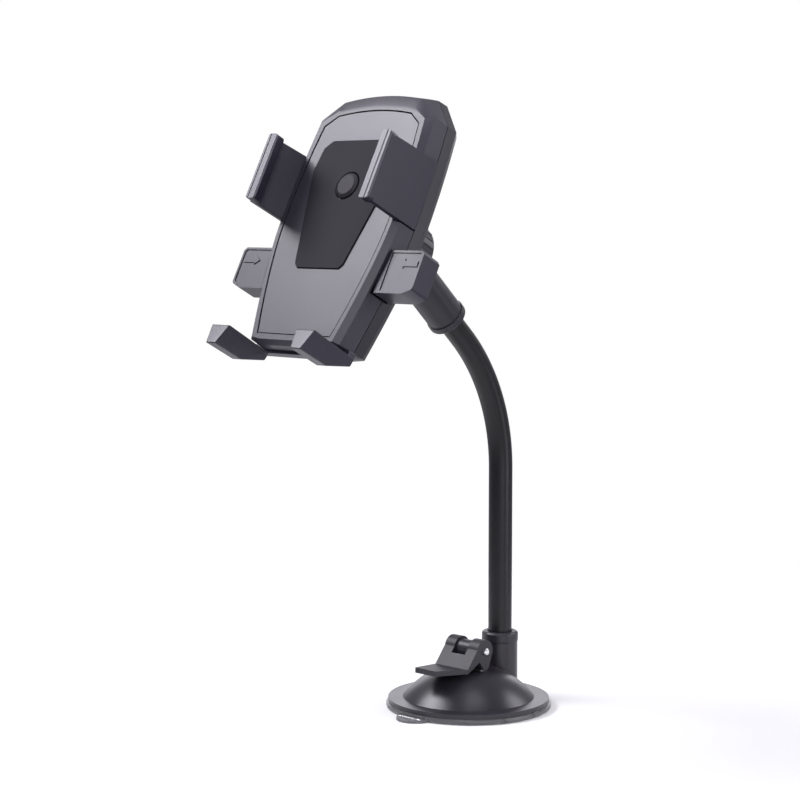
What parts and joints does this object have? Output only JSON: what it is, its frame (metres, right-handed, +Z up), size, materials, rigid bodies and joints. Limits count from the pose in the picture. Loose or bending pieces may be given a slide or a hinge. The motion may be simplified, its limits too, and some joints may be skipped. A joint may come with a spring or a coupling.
{
  "type": "car phone mount",
  "caption": "Car phone holder: suction base with cam lever, bendable gooseneck, ball joint with lock nut, and a spring-closed jaw cradle with squeeze tabs and foot claws.",
  "frame": {"origin": "middle of the suction face, in its plane", "axes": "+Z up along the straight part of the neck, -Y towards the side that the cradle faces, +X to the cradle's right as seen from behind it"},
  "size_m": [0.1028, 0.1615, 0.2615],
  "materials": {
    "pad_gel": "matte",
    "housing_plastic": "satin",
    "inner_plastic": "satin",
    "spring_steel": "bright",
    "pin_steel": "polished",
    "screw_steel": "satin",
    "hose_steel": "satin",
    "sleeve_vinyl": "satin",
    "ring_rubber": "matte",
    "front_plastic": "satin",
    "panel_plastic": "satin",
    "grip_rubber": "matte",
    "button_plastic": "satin",
    "latch_steel": "satin",
    "gear_plastic": "satin"
  },
  "bodies": {
    "base": {"suction_pad": "pad_gel", "base_housing": "housing_plastic", "base_collar": "housing_plastic", "neck_screw": "screw_steel", "neck_core_base": "hose_steel", "neck_sleeve": "sleeve_vinyl", "release_spring": "spring_steel"},
    "plunger": {"plunger": "housing_plastic", "lever_pin": "pin_steel"},
    "lever": {"suction_lever": "housing_plastic"},
    "neck_low": {"neck_core_low": "hose_steel"},
    "neck_mid": {"neck_core_mid": "hose_steel"},
    "neck_head": {"neck_core_head": "hose_steel", "neck_collar": "housing_plastic", "ball_stem": "housing_plastic"},
    "tilt_ring": {"friction_ring": "ring_rubber"},
    "pan_cup": {"ball_liner": "inner_plastic"},
    "cradle": {"back_shell": "housing_plastic", "front_shell": "front_plastic", "face_panel": "panel_plastic", "grip_pad": "grip_rubber", "shell_screws": "screw_steel", "latch_axle": "pin_steel", "pinion_axle": "pin_steel", "button_spring": "spring_steel", "right_return_spring": "spring_steel", "left_return_spring": "spring_steel"},
    "lock_nut": {"lock_nut": "housing_plastic"},
    "right_jaw": {"right_jaw_slider": "front_plastic", "right_jaw_pad": "grip_rubber"},
    "left_jaw": {"left_jaw_slider": "front_plastic", "left_jaw_pad": "grip_rubber"},
    "pinion": {"pinion": "gear_plastic"},
    "button": {"trigger_button": "button_plastic"},
    "latch": {"latch_lever": "latch_steel"},
    "foot": {"foot_bracket": "front_plastic"}
  },
  "joints": [
    {"name": "plunger_lift", "type": "slide", "parent": "base", "child": "plunger", "axis": [0, 0, -1], "range_m": [0, 0.0014], "deforming": ["release_spring", "suction_pad"]},
    {"name": "lever_turn", "type": "hinge", "parent": "plunger", "child": "lever", "pos_m": [0, 0, 0.0252], "axis": [-1, 0, 0], "range_deg": [0, 90]},
    {"name": "neck_bend_low", "type": "hinge", "parent": "base", "child": "neck_low", "pos_m": [0, 0.02065, 0.055], "axis": [1, 0, 0], "range_deg": [-12, 12], "deforming": ["neck_sleeve"]},
    {"name": "neck_bend_side", "type": "hinge", "parent": "neck_low", "child": "neck_mid", "pos_m": [0, 0.02065, 0.086], "axis": [0, 1, 0], "range_deg": [-12, 12], "deforming": ["neck_sleeve"]},
    {"name": "neck_bend_top", "type": "hinge", "parent": "neck_mid", "child": "neck_head", "pos_m": [0, 0.01373, 0.13504], "axis": [1, 0, 0], "range_deg": [-15, 15], "deforming": ["neck_sleeve"]},
    {"name": "cradle_tilt", "type": "hinge", "parent": "neck_head", "child": "tilt_ring", "pos_m": [0, -0.04587, 0.1991], "axis": [1, 0, 0], "range_deg": [-12, 12]},
    {"name": "cradle_pan", "type": "hinge", "parent": "tilt_ring", "child": "pan_cup", "pos_m": [0, -0.04587, 0.1991], "axis": [0, 0.4652, 0.8852], "range_deg": [-12, 12]},
    {"name": "cradle_roll", "type": "hinge", "parent": "pan_cup", "child": "cradle", "pos_m": [0, -0.04587, 0.1991], "axis": [0, -0.8852, 0.4652], "range_deg": [-180, 180]},
    {"name": "lock_nut_turn", "type": "hinge", "parent": "cradle", "child": "lock_nut", "pos_m": [0, -0.04587, 0.1991], "axis": [0, -0.8852, 0.4652], "range_deg": [-90, 90]},
    {"name": "right_jaw_open", "type": "slide", "parent": "cradle", "child": "right_jaw", "axis": [1, 0, 0], "range_m": [0, 0.014], "stiffness_N_per_m": 150, "springref_m": -0.02, "deforming": ["right_return_spring"]},
    {"name": "left_jaw_open", "type": "slide", "parent": "cradle", "child": "left_jaw", "axis": [-1, 0, 0], "range_m": [0, 0.014], "stiffness_N_per_m": 150, "springref_m": -0.02, "deforming": ["left_return_spring"]},
    {"name": "pinion_turn", "type": "hinge", "parent": "cradle", "child": "pinion", "pos_m": [0, -0.06883, 0.20055], "axis": [0, -0.8852, 0.4652], "range_deg": [-161, 0.5]},
    {"name": "button_press", "type": "slide", "parent": "cradle", "child": "button", "axis": [0, 0.8852, -0.4652], "range_m": [0, 0.0012], "stiffness_N_per_m": 600, "springref_m": -0.001, "deforming": ["button_spring"]},
    {"name": "latch_rock", "type": "hinge", "parent": "cradle", "child": "latch", "pos_m": [0, -0.06451, 0.21522], "axis": [1, 0, 0], "range_deg": [-16, 0.2]},
    {"name": "foot_slide", "type": "slide", "parent": "cradle", "child": "foot", "axis": [0, -0.4652, -0.8852], "range_m": [0, 0.014]}
  ],
  "couplings": [
    {"joint": "lever_turn", "follows": "plunger_lift", "rad_per_m": 1121.9},
    {"joint": "left_jaw_open", "follows": "right_jaw_open", "ratio": 1},
    {"joint": "pinion_turn", "follows": "right_jaw_open", "rad_per_m": -200},
    {"joint": "latch_rock", "follows": "button_press", "rad_per_m": -220}
  ]
}
